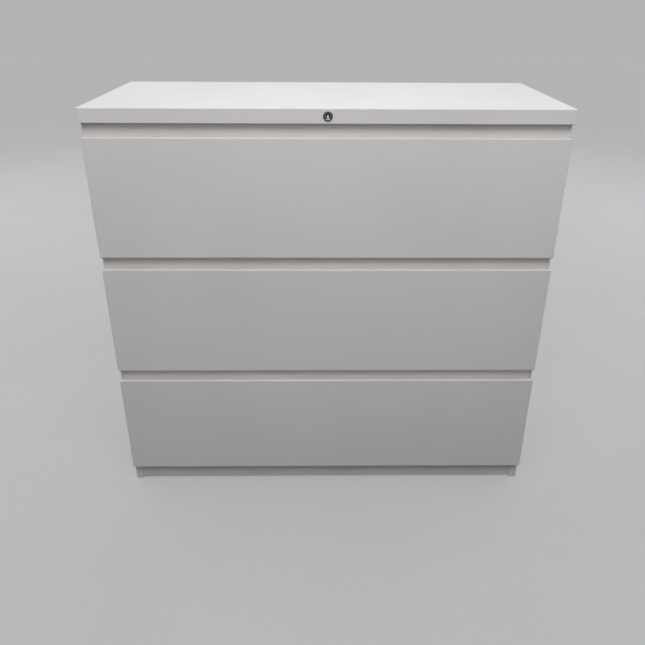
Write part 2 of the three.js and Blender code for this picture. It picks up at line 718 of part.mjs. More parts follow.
// Link across the cabinet: a slot for the crank pin and a ramp slot that lifts the lock bar
function lockLink() {
  const bottom = FASCIA_BOTTOM;
  const left = PIN_X - PIN_SLOT_R - LINK_END;
  const rampLeft = RAMP_X - PIN_SLOT_R - RAMP_EDGE;
  const rampTop = RAMP_Z + LOCK_TRAVEL + PIN_SLOT_R + RAMP_EDGE;
  const outline = [
    [left, bottom],
    [BAR_OUT, bottom],
    [BAR_OUT, rampTop],
    [rampLeft, rampTop],
    [rampLeft, bottom + LINK_HEIGHT],
    [left, bottom + LINK_HEIGHT],
  ];
  const shape = new THREE.Shape(outline.map(([x, z]) => new THREE.Vector2(x, z)));
  const low = LOCK_Z - CRANK_R - PIN_RUN;
  const high = LOCK_Z - LOCK_TRAVEL / 2 + PIN_RUN;
  shape.holes.push(slotPath([PIN_X, low], [PIN_X, high], PIN_SLOT_R));
  shape.holes.push(slotPath([RAMP_X, RAMP_Z], [RAMP_X + LOCK_TRAVEL, RAMP_Z + LOCK_TRAVEL], PIN_SLOT_R));
  return alongY(shape, LINK_FRONT, LINK_BACK);
}

// Lock bar down the right side: a head with the ramp pin, and a notch at each drawer's tab
function lockBar() {
  const tabHeights = Array.from({ length: DRAWERS }, (_, drawer) => frontBottom(drawer) + TAB_Z);
  const bottom = tabHeights[DRAWERS - 1] - BAR_TAIL;
  const headIn = RAMP_X - PIN_SLOT_R - RAMP_EDGE;
  const headTop = RAMP_Z + PIN_SLOT_R + RAMP_EDGE;
  const notchX = BAR_X + TAB_REACH + BAR_RUN;
  const half = TAB_HEIGHT / 2 + NOTCH_RUN;
  const notches = tabHeights.flatMap((z) => [
    [BAR_X, z + half],
    [notchX, z + half],
    [notchX, z - half],
    [BAR_X, z - half],
  ]);
  const outline = [
    [BAR_X, bottom],
    [BAR_OUT, bottom],
    [BAR_OUT, headTop],
    [headIn, headTop],
    [headIn, FASCIA_BOTTOM],
    [BAR_X, FASCIA_BOTTOM],
    ...notches,
  ];
  const shape = new THREE.Shape(outline.map(([x, z]) => new THREE.Vector2(x, z)));
  const pin = pinAlongY(PIN_R, [RAMP_X, RAMP_Z], LINK_FRONT - PIN_END, BAR_FRONT + BAR_T / 2, PIN_FACETS);
  return join(alongY(shape, BAR_FRONT, BAR_BACK), pin);
}

function addPiece(parent, name, geometry, finish) {
  const surface = geometry.index ? geometry.toNonIndexed() : geometry;
  surface.computeVertexNormals();
  const mesh = new THREE.Mesh(surface, new THREE.MeshStandardMaterial(finish));
  mesh.name = name;
  parent.add(mesh);
  return mesh;
}

// A left and a right piece from the geometry of one of them
function addPair(parent, name, geometry, builtSide, finish) {
  SIDES.forEach(([label, side]) => {
    const own = side === builtSide ? geometry.clone() : mirrored(geometry);
    addPiece(parent, `${name}_${label}`, own, finish);
  });
}

function buildCase() {
  const group = new THREE.Group();
  addPiece(group, 'top_cap', topCap(), WHITE_PAINT);
  addPair(group, 'side_panel', sidePanel(), 1, WHITE_PAINT);
  addPiece(group, 'back_panel', backPanel(), WHITE_PAINT);
  addPiece(group, 'base_pan', basePan(), WHITE_PAINT);
  addPiece(group, 'kick_rail', kickRail(), WHITE_PAINT);
  for (let drawer = 0; drawer < DRAWERS; drawer += 1) {
    addPiece(group, `gap_rail_${drawer + 1}`, gapRail(drawer), WHITE_PAINT);
  }
  addPair(group, 'upright_front', upright(UPRIGHT_FRONT), 1, ZINC);
  addPair(group, 'upright_rear', upright(UPRIGHT_REAR), 1, ZINC);
  glidePlaces().forEach(({ name, x, y }) => {
    addPiece(group, name, glide(), BLACK_NYLON).position.set(x, y, 0);
  });
  return group;
}

function buildDrawer(drawer) {
  const group = new THREE.Group();
  const name = `drawer_${drawer + 1}`;
  addPiece(group, `${name}_front`, drawerFront(), WHITE_PAINT);
  addPiece(group, `${name}_tray`, drawerTray(), WHITE_PAINT);
  addPiece(group, `${name}_side_left`, mirrored(drawerSide()), WHITE_PAINT);
  addPiece(group, `${name}_side_right`, lockingSide(), WHITE_PAINT);
  addPiece(group, `${name}_hang_rail_front`, hangRail(), ZINC);
  const rear = addPiece(group, `${name}_hang_rail_rear`, hangRail(), ZINC);
  rear.rotation.z = Math.PI;
  rear.position.y = TRAY_FRONT + TRAY_BACK;
  const slides = new THREE.Group();
  slides.position.z = SLIDE_RISE;
  addPair(slides, `${name}_slide_outer`, slideOuter(), -1, ZINC);
  addPair(slides, `${name}_slide_middle`, slideMiddle(), -1, ZINC);
  addPair(slides, `${name}_slide_inner`, slideInner(), -1, ZINC);
  group.add(slides);
  group.position.z = frontBottom(drawer);
  return group;
}

function buildLock() {
  const group = new THREE.Group();
  const core = new THREE.Group();
  core.position.set(0, FACE_Y, LOCK_Z);
  addPiece(core, 'lock_housing', lockHousing(), CHROME);
  addPiece(core, 'lock_plug', lockPlug(), DARK_STEEL);
  addPiece(core, 'lock_nut', lockNut(), ZINC);
  addPiece(core, 'lock_cam', lockCam(), ZINC);
  group.add(core);
  addPiece(group, 'lock_link', lockLink(), ZINC);
  addPiece(group, 'lock_bar', lockBar(), ZINC);
  return group;
}

const cabinet = new THREE.Group();
cabinet.add(buildCase());
for (let drawer = 0; drawer < DRAWERS; drawer += 1) {
  cabinet.add(buildDrawer(drawer));
}
cabinet.add(buildLock());

export default cabinet;
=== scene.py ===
"""Looks for a three-drawer lateral filing cabinet: finishes, small fittings, light and camera.

The scene is in metres, in the part's frame. The forms of the fittings are in millimetres.
"""
import math

import bmesh
import bpy
from mathutils import Matrix, Vector


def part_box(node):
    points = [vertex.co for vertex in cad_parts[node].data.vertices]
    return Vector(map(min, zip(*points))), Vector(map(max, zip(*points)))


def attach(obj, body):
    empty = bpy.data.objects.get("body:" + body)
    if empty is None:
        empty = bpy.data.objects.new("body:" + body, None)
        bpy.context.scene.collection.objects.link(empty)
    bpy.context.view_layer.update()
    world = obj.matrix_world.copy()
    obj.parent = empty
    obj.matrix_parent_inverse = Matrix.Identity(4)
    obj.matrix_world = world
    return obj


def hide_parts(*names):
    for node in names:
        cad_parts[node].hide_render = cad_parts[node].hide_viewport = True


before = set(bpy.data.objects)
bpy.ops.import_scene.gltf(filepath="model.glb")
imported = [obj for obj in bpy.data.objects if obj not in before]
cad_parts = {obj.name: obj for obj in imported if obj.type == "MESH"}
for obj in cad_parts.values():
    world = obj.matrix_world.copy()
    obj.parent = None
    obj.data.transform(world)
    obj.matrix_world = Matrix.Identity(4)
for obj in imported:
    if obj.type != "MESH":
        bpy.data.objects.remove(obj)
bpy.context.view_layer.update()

MM = 0.001
DRAWERS = (1, 2, 3)
SIDES = (("left", -1), ("right", 1))
FACE_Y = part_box("top_cap")[0].y


# Materials

MIX_BELOW, MIX_ABOVE, MIX_RESULT = 6, 7, 2  # the colour sockets of a Mix node
NOISE_SPAN = (0.3, 0.7)  # where most of a noise's values lie


class Finish:
    """A Principled material, with helpers for patterns in the part's own coordinates."""

    def __init__(self, name, metallic=0.0):
        self.material = bpy.data.materials.new(name)
        self.material.use_nodes = True
        tree = self.material.node_tree
        self.nodes = tree.nodes
        self.links = tree.links
        self.shader = self.nodes["Principled BSDF"]
        self.shader.inputs["Metallic"].default_value = metallic
        self.place = self.nodes.new("ShaderNodeTexCoord").outputs["Object"]

    def feed(self, socket, output):
        self.links.new(output, self.shader.inputs[socket])

    def noise(self, scale, detail, roughness=0.5, stretch=(1, 1, 1)):
        mapping = self.nodes.new("ShaderNodeMapping")
        mapping.inputs["Scale"].default_value = stretch
        self.links.new(self.place, mapping.inputs["Vector"])
        texture = self.nodes.new("ShaderNodeTexNoise")
        texture.inputs["Scale"].default_value = scale
        texture.inputs["Detail"].default_value = detail
        texture.inputs["Roughness"].default_value = roughness
        self.links.new(mapping.outputs["Vector"], texture.inputs["Vector"])
        return texture.outputs["Fac"]

    def spread(self, value, span=NOISE_SPAN, result=(0.0, 1.0)):
        """Smooth step from the first number of the result to the second, across the span."""
        remap = self.nodes.new("ShaderNodeMapRange")
        remap.interpolation_type = "SMOOTHSTEP"
        remap.inputs["From Min"].default_value, remap.inputs["From Max"].default_value = span
        remap.inputs["To Min"].default_value, remap.inputs["To Max"].default_value = result
        self.links.new(value, remap.inputs["Value"])
        return remap.outputs["Result"]

    def calculate(self, operation, first, second=0.0):
        node = self.nodes.new("ShaderNodeMath")
        node.operation = operation
        for socket, value in zip(node.inputs, (first, second)):
            if isinstance(value, (int, float)):
                socket.default_value = value
            else:
                self.links.new(value, socket)
        return node.outputs["Value"]

    def vector_step(self, operation, vector, other=None):
        """Outputs of an operation on a vector, with a fixed second vector where it takes one."""
        node = self.nodes.new("ShaderNodeVectorMath")
        node.operation = operation
        self.links.new(vector, node.inputs[0])
        if other is not None:
            node.inputs[1].default_value = other
        return node.outputs

    def spot(self, centre, radii):
        """1 in the heart of an ellipsoid in the part's frame, falling to 0 at its skin."""
        offset = self.vector_step("SUBTRACT", self.place, centre)["Vector"]
        scaled = self.vector_step("DIVIDE", offset, radii)["Vector"]
        reach = self.vector_step("LENGTH", scaled)["Value"]
        return self.spread(reach, span=(0.2, 1.0), result=(1.0, 0.0))

    def weld_rows(self, columns, pitch, radius):
        """0 in the spot welds and 1 off them: two columns up the part, at plus and minus an x."""
        split = self.nodes.new("ShaderNodeSeparateXYZ")
        self.links.new(self.place, split.inputs["Vector"])
        aside = self.calculate("SUBTRACT", self.calculate("ABSOLUTE", split.outputs["X"]), columns)
        cycle = self.calculate("FLOORED_MODULO", split.outputs["Z"], pitch)
        along = self.calculate("SUBTRACT", cycle, pitch / 2)
        squares = [self.calculate("POWER", offset, 2.0) for offset in (aside, along)]
        reach = self.calculate("SQRT", self.calculate("ADD", *squares))
        return self.spread(reach, span=(0.55 * radius, radius))

    def tint(self, factor, below, above):
        """Colour that goes from below to above as the factor goes from 0 to 1."""
        mix = self.nodes.new("ShaderNodeMix")
        mix.data_type = "RGBA"
        self.links.new(factor, mix.inputs["Factor"])
        for index, colour in ((MIX_BELOW, below), (MIX_ABOVE, above)):
            if isinstance(colour, tuple):
                mix.inputs[index].default_value = (*colour, 1.0)
            else:
                self.links.new(colour, mix.inputs[index])
        return mix.outputs[MIX_RESULT]

    def bump(self, height, strength, distance, under=None):
        """Bump on the shader, over the bump under it where there is one."""
        node = self.nodes.new("ShaderNodeBump")
        node.inputs["Strength"].default_value = strength
        node.inputs["Distance"].default_value = distance
        self.links.new(height, node.inputs["Height"])
        if under is not None:
            self.links.new(under, node.inputs["Normal"])
        self.feed("Normal", node.outputs["Normal"])
        return node.outputs["Normal"]


PAINT = (0.805, 0.784, 0.768)
PAINT_DEEP = (0.775, 0.753, 0.736)
# Warmer recess paint: a painted tint for the warm light that bounces round the gaps and under the
# drawers.
PAINT_RECESS_PAINTED_BOUNCE = (0.815, 0.784, 0.745)
PAINT_RECESS_PAINTED_BOUNCE_DEEP = (0.785, 0.753, 0.713)
PAINT_GRIME_AND_SHADE = (0.60, 0.578, 0.56)
# The kick's heavy rubs are partly wear and partly painted shade, darkening it as the shade under
# the bottom drawer does.
LIGHT_WEAR, KICK_WEAR_AND_PAINTED_SHADE = 0.10, 0.45
ZINC_COOL = (0.60, 0.62, 0.64)
ZINC_WARM = (0.66, 0.64, 0.59)
ZINC_DULL = (0.44, 0.45, 0.46)
DRAWN_X, DRAWN_Y, DRAWN_Z = (0.04, 1.0, 1.0), (1.0, 0.04, 1.0), (1.0, 1.0, 0.04)
BACK_WELDS = {"columns": 0.5235, "pitch": 0.075, "radius": 0.0045}


def powder_coat(name, marks=(), wear_and_shade=LIGHT_WEAR, welds=None, shades=(PAINT, PAINT_DEEP)):
    """Satin white powder coat: orange peel, soft clouds, faint handling marks, weld dimples; heavy
    rubs, as on the kick, are partly wear and partly painted shade.
    """
    finish = Finish(name)
    clouds = finish.spread(finish.noise(scale=3.2, detail=4.0), span=(0.35, 0.7))
    colour = finish.tint(clouds, *shades)
    smears = finish.noise(scale=26.0, detail=6.0, roughness=0.62, stretch=(1.0, 1.0, 2.4))
    # Rubs darken towards the grime colour: wear, and on the kick also painted shade.
    rubs_and_shade = finish.spread(smears, span=(0.60 - wear_and_shade, 0.82), result=(0.0, wear_and_shade))
    colour = finish.tint(rubs_and_shade, colour, PAINT_GRIME_AND_SHADE)
    for centre, radii, strength in marks:
        speckle = finish.noise(scale=160.0, detail=4.0)
        ragged = finish.spread(speckle, span=(0.38, 0.62), result=(0.0, strength))
        mark = finish.calculate("MULTIPLY", finish.spot(centre, radii), ragged)
        colour = finish.tint(mark, colour, PAINT_GRIME_AND_SHADE)
    finish.feed("Base Color", colour)
    sheen = finish.noise(scale=9.0, detail=5.0)
    finish.feed("Roughness", finish.spread(sheen, result=(0.50, 0.62)))
    under = finish.bump(finish.noise(scale=6.0, detail=1.0), strength=0.08, distance=0.002)
    if welds:
        dimples = finish.weld_rows(**welds)
        under = finish.bump(dimples, strength=0.6, distance=0.0006, under=under)
    peel = finish.noise(scale=900.0, detail=2.0)
    finish.bump(peel, strength=0.12, distance=0.0004, under=under)
    return finish.material


def zinc(name, grain):
    """Bright zinc plate on drawn steel, with streaks along the draw and pale passivation."""
    finish = Finish(name, metallic=1.0)
    streaks = finish.noise(scale=160.0, detail=3.0, roughness=0.6, stretch=grain)
    cast = finish.spread(finish.noise(scale=11.0, detail=4.0), span=(0.35, 0.68))
    dull = finish.spread(streaks, span=(0.45, 0.75), result=(0.0, 0.35))
    finish.feed("Base Color", finish.tint(dull, finish.tint(cast, ZINC_COOL, ZINC_WARM), ZINC_DULL))
    finish.feed("Roughness", finish.spread(streaks, result=(0.26, 0.44)))
    finish.bump(streaks, strength=0.10, distance=0.0002)
    return finish.material


def plated(name, colour, tarnished, roughness):
    """Turned and plated metal, with fine turning marks and slight tarnish."""
    finish = Finish(name, metallic=1.0)
    blooms = finish.noise(scale=420.0, detail=5.0, roughness=0.6)
    tarnish = finish.spread(blooms, span=(0.42, 0.74), result=(0.0, 0.6))
    finish.feed("Base Color", finish.tint(tarnish, colour, tarnished))
    sheen = finish.noise(scale=900.0, detail=3.0)
    finish.feed("Roughness", finish.spread(sheen, result=(roughness, roughness + 0.14)))
    turning = finish.noise(scale=2400.0, detail=2.0, stretch=(1.0, 0.1, 1.0))
    finish.bump(turning, strength=0.08, distance=0.0001)
    return finish.material


def moulded(name, colour, roughness):
    """Moulded plastic or rubber with a fine matt skin."""
    finish = Finish(name)
    shade = finish.spread(finish.noise(scale=70.0, detail=4.0))
    deep = tuple(0.7 * value for value in colour)
    finish.feed("Base Color", finish.tint(shade, colour, deep))
    sheen = finish.noise(scale=300.0, detail=3.0)
    finish.feed("Roughness", finish.spread(sheen, result=(roughness, roughness + 0.12)))
    finish.bump(finish.noise(scale=1500.0, detail=2.0), strength=0.2, distance=0.0002)
    return finish.material


# Marks on the fronts and the top's front edge: centre, radii, strength
FRONT_MARKS = {
    1: (
        ((-0.088, FACE_Y, 0.930), (0.030, 0.02, 0.012), 0.20),
        ((-0.066, FACE_Y, 0.924), (0.022, 0.02, 0.008), 0.15),
        ((0.143, FACE_Y, 0.932), (0.012, 0.02, 0.006), 0.30),
    ),
    2: (),
    3: (((0.20, FACE_Y, 0.10), (0.05, 0.02, 0.02), 0.10),),
}
TOP_MARKS = (
    ((0.478, FACE_Y, 0.994), (0.016, 0.01, 0.006), 0.22),
    ((0.506, FACE_Y, 0.988), (0.010, 0.01, 0.007), 0.18),
    ((0.255, FACE_Y, 0.971), (0.030, 0.01, 0.004), 0.20),
)
PAINTED_BOUNCE_SHADES = (PAINT_RECESS_PAINTED_BOUNCE, PAINT_RECESS_PAINTED_BOUNCE_DEEP)

paint_case = powder_coat("case_powder_coat")
paint_top = powder_coat("top_powder_coat", TOP_MARKS)
# The rails and the kick take the warm recess paint, a painted bounce-light tint.
paint_rail_painted_bounce = powder_coat("rail_powder_coat_painted_bounce", shades=PAINTED_BOUNCE_SHADES)
# The kick's heavier rubs are partly painted shade.
paint_kick_wear_and_painted_light = powder_coat("kick_powder_coat_wear_and_painted_light", wear_and_shade=KICK_WEAR_AND_PAINTED_SHADE, shades=PAINTED_BOUNCE_SHADES)
paint_back = powder_coat("back_powder_coat", welds=BACK_WELDS)
paint_front = {k: powder_coat(f"front_{k}_powder_coat", FRONT_MARKS[k]) for k in DRAWERS}
zinc_upright = zinc("upright_zinc", DRAWN_Z)
zinc_slide = zinc("slide_zinc", DRAWN_Y)
zinc_rail = zinc("rail_zinc", DRAWN_X)
# Near-black collar plating: a painted dark reflection, standing in for chrome that mirrors a dark
# room.
collar_painted_reflection = plated("lock_collar_painted_reflection", (0.10, 0.10, 0.105), (0.06, 0.06, 0.065), 0.22)
# Near-black plug core and pins: painted shade deep in the ring keyway.
plug_painted_shade = plated("lock_plug_painted_shade", (0.035, 0.035, 0.04), (0.02, 0.02, 0.025), 0.30)
post_plate = plated("lock_post_plate", (0.94, 0.93, 0.92), (0.84, 0.83, 0.82), 0.30)
face_plate = plated("lock_face_plate", (0.36, 0.36, 0.37), (0.24, 0.24, 0.25), 0.30)
fastener_plate = plated("fastener_plate", (0.62, 0.63, 0.64), (0.45, 0.45, 0.46), 0.28)
cage_plate = plated("cage_plate", (0.52, 0.52, 0.50), (0.40, 0.40, 0.39), 0.30)
ball_steel = plated("bearing_steel", (0.70, 0.70, 0.71), (0.52, 0.52, 0.53), 0.10)
nylon = moulded("glide_nylon", (0.028, 0.028, 0.030), 0.45)
bumper_rubber = moulded("bumper_rubber", (0.42, 0.42, 0.43), 0.5)

OWN_FINISH = {"top_cap": paint_top, "kick_rail": paint_kick_wear_and_painted_light, "back_panel": paint_back}
for k in DRAWERS:
    OWN_FINISH[f"gap_rail_{k}"] = paint_rail_painted_bounce
    OWN_FINISH[f"drawer_{k}_front"] = paint_front[k]


def finish_for(node):
    """Finish of a CAD node, by its name."""
    if node in OWN_FINISH:
        return OWN_FINISH[node]
    if node.startswith("upright"):
        return zinc_upright
    if "_slide_" in node or node == "lock_bar":
        return zinc_slide
    if "hang_rail" in node or node in ("lock_link", "lock_cam", "lock_nut"):
        return zinc_rail
    return nylon if node.startswith("glide") else paint_case


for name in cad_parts:
    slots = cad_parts[name].data.materials
    slots.clear()
    slots.append(finish_for(name))


# Forms of the fittings, in millimetres: each is its corners and its faces

STEPS = 64
FOLD_STEPS = 6
SHARP_ANGLE = math.radians(32.0)


def turned(profile, steps=STEPS, reach=None, closed=False):
    """Form turned about +Y, from (radius, place) pairs.

    A radius of 0 closes an end, and a closed profile joins its last pair to its first.
    """
    corners, rows = [], []
    for radius, place in profile:
        start = len(corners)
        if radius == 0:
            rows.append([start] * steps)
            corners.append((0.0, place, 0.0))
            continue
        rows.append(list(range(start, start + steps)))
        for i in range(steps):
            angle = 2.0 * math.pi * i / steps
            r = radius if reach is None else reach(radius, angle)
            corners.append((r * math.cos(angle), place, r * math.sin(angle)))
    pairs = list(zip(rows, rows[1:]))
    if closed:
        pairs.append((rows[-1], rows[0]))
    faces = []
    for low, high in pairs:
        for i in range(steps):
            j = (i + 1) % steps
            faces.append(list(dict.fromkeys((low[i], low[j], high[j], high[i]))))
    return corners, faces


def side_faces(count):
    """Faces between two loops of as many corners, the second listed straight after the first."""
    following = [(i + 1) % count for i in range(count)]
    return [[i, j, j + count, i + count] for i, j in enumerate(following)]


def drawn(outline, low, high):
    """Plate with an outline in x and y, drawn up from one height to another."""
    count = len(outline)
    corners = [(x, y, z) for z in (low, high) for x, y in outline]
    return corners, [list(range(count)), list(range(count, 2 * count)), *side_faces(count)]


def channel(front, back, floor, rises, corner, sheet, reach):
    """Sheet folded to a trough along x, between two places in y, from a floor up to two heights."""
    angles = [math.radians(90.0 * i / FOLD_STEPS) for i in range(FOLD_STEPS + 1)]
    turns = [(math.cos(a), math.sin(a)) for a in angles]
    skins = []
    for inset in (0.0, sheet):
        radius = corner - inset
        skin = [(front + inset, rises[0])]
        skin += [(front + corner - radius * c, floor + corner - radius * s) for c, s in turns]
        skin += [(back - corner + radius * s, floor + corner - radius * c) for c, s in turns]
        skin.append((back - inset, rises[1]))
        skins.append(skin)
    outside, inside = skins
    outline = [*outside, *reversed(inside)]
    count = len(outline)
    corners = [(x, y, z) for x in (-reach, reach) for y, z in outline]
    ends = [[i, i + 1, count - 2 - i, count - 1 - i] for i in range(count // 2 - 1)]
    return corners, [*side_faces(count), *ends, *([i + count for i in end] for end in ends)]


def moved(form, place, towards=(0, 1, 0)):
    """The form with its +Y axis turned to a direction and its origin at a place."""
    corners, faces = form
    turn = Vector((0, 1, 0)).rotation_difference(Vector(towards))
    return [turn @ Vector(c) + Vector(place) for c in corners], faces


def add_fitting(name, forms, material, body):
    """One piece made of several forms, riding on a body."""
    corners, faces = [], []
    for form_corners, form_faces in forms:
        start = len(corners)
        corners += [Vector(c) * MM for c in form_corners]
        faces += [[start + i for i in face] for face in form_faces]
    mesh = bpy.data.meshes.new(name)
    mesh.from_pydata(corners, [], faces)
    shape = bmesh.new()
    shape.from_mesh(mesh)
    bmesh.ops.recalc_face_normals(shape, faces=shape.faces)
    shape.to_mesh(mesh)
    shape.free()
    mesh.shade_smooth()
    mesh.set_sharp_from_angle(angle=SHARP_ANGLE)
    mesh.materials.append(material)
    piece = bpy.data.objects.new(name, mesh)
    bpy.context.scene.collection.objects.link(piece)
    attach(piece, body)
    return piece


def node_box(node):
    """Lowest and highest corner of a node, in millimetres."""
    return tuple(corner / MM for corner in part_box(node))


# Lock: radii, and lengths along its axis

COLLAR_RIM = (
    (7.35, 0.3), (7.6, 0.1), (7.9, 0.0), (9.3, 0.0), (9.75, 0.08), (10.1, 0.26), (10.35, 0.55),
)
COLLAR_BEVEL, COLLAR_DEPTH = 0.95, 1.5
BARREL_R, BARREL_BEVEL = 8.5, 0.4
BORE_R, BORE_START = 7.15, 0.9
THREADS, THREAD_START, THREAD_PITCH, THREAD_DEPTH = 12, 9.0, 1.0, 0.45
PLUG_R, PLUG_SETBACK = 6.9, 0.7
KEYWAY_R, KEYWAY_DEPTH, KEYWAY_MOUTH, KEYWAY_LIP = 4.9, 5.0, 1.5, 0.2
FACE_RING_GAP = 0.6
NOTCH_DEPTH, NOTCH_HALF_ANGLE = 0.8, math.radians(9.0)
SHOULDER_GAP = 0.3
TAIL_R, CLIP_R, CLIP_THICKNESS = 3.0, 4.0, 1.2
PINS, PIN_CIRCLE_R, PIN_SEAT, PIN_STEPS = 7, 3.5, 0.1, 16
PIN = ((0, 0), (0.62, 0), (0.62, -2.4), (0.5, -2.7), (0.25, -2.84), (0, -2.9))
POST_R, POST_SEAT = 2.1, 0.2
POST_DISH = ((1.4, 0.36), (0.8, 0.6), (0.3, 0.7), (0, 0.72))


def index_notch(radius, angle):
    """Radius with a notch at the top of the keyway's lip."""
    near_top = abs(angle - math.pi / 2) < NOTCH_HALF_ANGLE
    on_lip = KEYWAY_R <= radius <= KEYWAY_R + KEYWAY_LIP
    return radius + NOTCH_DEPTH if near_top and on_lip else radius


def add_lock():
    """Turned collar, and a plug with a coned face, a ring keyway, its pins and a bright post."""
    low, high = node_box("lock_housing")
    axis = ((low.x + high.x) / 2, 0, (low.z + high.z) / 2)
    front, back, outside = low.y, high.y, (high.x - low.x) / 2
    threads = []
    for i in range(THREADS):
        crest = front + THREAD_START + i * THREAD_PITCH
        threads += [(BARREL_R, crest), (BARREL_R - THREAD_DEPTH, crest + THREAD_PITCH / 2)]
    collar = [
        *((radius, front + depth) for radius, depth in COLLAR_RIM),
        (outside, front + COLLAR_BEVEL), (outside, front + COLLAR_DEPTH),
        (BARREL_R, front + COLLAR_DEPTH), *threads,
        (BARREL_R, back - BARREL_BEVEL), (BARREL_R - BARREL_BEVEL, back),
        (BORE_R, back), (BORE_R, front + BORE_START),
    ]
    form = moved(turned(collar, closed=True), axis)
    # The collar's near-black plating is a painted dark reflection.
    housing = add_fitting("lock_collar", [form], collar_painted_reflection, "case")
    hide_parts("lock_housing")

    face, end = front + PLUG_SETBACK, node_box("lock_plug")[1].y
    floor, mouth, shoulder = face + KEYWAY_DEPTH, face + KEYWAY_MOUTH, back + SHOULDER_GAP
    ring = [
        (KEYWAY_R, floor - FACE_RING_GAP), (KEYWAY_R, mouth + 0.15),
        (KEYWAY_R + KEYWAY_LIP, mouth - 0.1), (PLUG_R - 0.35, face + 0.1),
        (PLUG_R - 0.15, face), (PLUG_R, face + 0.2), (PLUG_R, floor - FACE_RING_GAP),
    ]
    form = moved(turned(ring, reach=index_notch, closed=True), axis)
    add_fitting("lock_plug_face", [form], face_plate, "lock_core")
    core = [
        (0, floor), (KEYWAY_R - 0.05, floor), (PLUG_R, floor - 0.5),
        (PLUG_R, shoulder), (TAIL_R, shoulder), (TAIL_R, end - CLIP_THICKNESS),
        (CLIP_R, end - CLIP_THICKNESS), (CLIP_R, end), (0, end),
    ]
    forms = [turned(core)]
    for i in range(PINS):
        angle = math.radians(90 + 360 * (i + 0.5) / PINS)
        x, z = PIN_CIRCLE_R * math.cos(angle), PIN_CIRCLE_R * math.sin(angle)
        forms.append(moved(turned(PIN, PIN_STEPS), (x, floor + PIN_SEAT, z)))
    forms = [moved(form, axis) for form in forms]
    # The core and its pins are near-black, painted shade in the keyway.
    body = add_fitting("lock_plug_core", forms, plug_painted_shade, "lock_core")
    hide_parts("lock_plug")
    post = [
        (0, floor + POST_SEAT), (POST_R, floor + POST_SEAT), (POST_R, face + 0.2),
        (POST_R - 0.15, face), *((radius, face + depth) for radius, depth in POST_DISH),
    ]
    form = moved(turned(post), axis)
    add_fitting("lock_post", [form], post_plate, "lock_core")


# Fasteners and pads, as turned forms with their heads towards +Y

SCREW_STEPS = 24
SCREW_HEAD = (
    (0, -0.2), (3.6, -0.2), (3.6, 0.25), (3.45, 0.55), (3.05, 0.9), (2.5, 1.18), (1.95, 1.34),
)
CROWN, RECESS_FLOOR, RECESS_TAPER = 1.42, 0.5, 0.75
ARM_REACH, ARM_HALF = 1.55, 0.42
QUARTERS = ((1, 0), (0, 1), (-1, 0), (0, -1))


def screw():
    """Truss-head screw with a cross recess."""
    corners, faces = turned(SCREW_HEAD, SCREW_STEPS)
    ring = len(corners) - SCREW_STEPS
    arm = [(ARM_REACH, -ARM_HALF), (ARM_REACH, ARM_HALF), (ARM_HALF, ARM_HALF)]
    cross = [(c * u - s * v, s * u + c * v) for c, s in QUARTERS for u, v in arm]
    count, top = len(cross), len(corners)
    corners += [(u, CROWN, v) for u, v in cross]
    corners += [(RECESS_TAPER * u, RECESS_FLOOR, RECESS_TAPER * v) for u, v in cross]
    rim_share = SCREW_STEPS // len(QUARTERS)
    for quarter in range(len(QUARTERS)):
        a, b, c, d = (top + (len(arm) * quarter + i) % count for i in range(4))
        rim = [ring + (rim_share * quarter + i) % SCREW_STEPS for i in range(-1, rim_share)]
        faces += [[a, b, rim[2], rim[1], rim[0]], [b, c, rim[4], rim[3], rim[2]]]
        faces.append([c, d, rim[6], rim[5], rim[4]])
    faces += [[top + i for i in face] for face in side_faces(count)]
    faces.append([top + count + i for i in range(count)])
    return corners, faces


SCREW = screw()
RIVET = turned([
    (0, -0.2), (3.0, -0.2), (3.0, 0.2), (2.85, 0.5), (2.45, 0.82), (1.9, 1.02),
    (1.4, 1.1), (1.2, 1.05), (1.1, 0.9), (1.05, 0.55), (0.6, 0.62), (0, 0.64),
], steps=28)
BUMPER = turned([
    (0, -0.1), (3.0, -0.1), (3.05, 0.5), (2.95, 0.9), (2.7, 1.12), (2.3, 1.2),
    (1.0, 1.2), (0.7, 1.05), (0, 1.02),
], steps=32)

BUMPER_X, BUMPER_ABOVE_EDGE, BUMPER_BELOW_EDGE = 516.0, 6.2, 5.8
PULL_SHEET, PULL_CORNER = 0.8, 3.0
PULL_BEHIND_FACE, PULL_BEFORE_BACK, PULL_END_GAP = 5.1, 0.4, 3.0
PULL_FLOOR_DROP, PULL_FRONT_DROP, PULL_BACK_DROP = 11.5, 4.0, 2.5
DRAWER_SIDE_SHEET, DRAWER_LUG_SHEET = 1.3, 1.0
RIVET_RISES, RIVET_ASIDE = (30.0, 115.0, 200.0), 7.6
SCREW_FROM_FRONT, SCREW_FROM_BACK = 30.0, 35.0


def add_bumpers():
    """Soft pads on the rails, behind the upper and lower corners of each drawer front."""
    pads = []
    for k in DRAWERS:
        low, high = node_box(f"gap_rail_{k}")
        heights = [low.z + BUMPER_ABOVE_EDGE]
        if k > 1:
            heights.append(high.z - BUMPER_BELOW_EDGE)
        for _, side in SIDES:
            pads += [moved(BUMPER, (side * BUMPER_X, low.y, z), (0, -1, 0)) for z in heights]
    add_fitting("drawer_bumpers", pads, bumper_rubber, "case")


def add_pull(k):
    """Trough behind the top edge of a drawer front, where the fingers go."""
    low, high = node_box(f"drawer_{k}_front")
    trough = channel(
        front=low.y + PULL_BEHIND_FACE,
        back=high.y - PULL_BEFORE_BACK,
        floor=high.z - PULL_FLOOR_DROP,
        rises=(high.z - PULL_FRONT_DROP, high.z - PULL_BACK_DROP),
        corner=PULL_CORNER,
        sheet=PULL_SHEET,
        reach=high.x - PULL_END_GAP,
    )
    add_fitting(f"drawer_{k}_pull", [trough], paint_front[k], f"drawer_{k}")


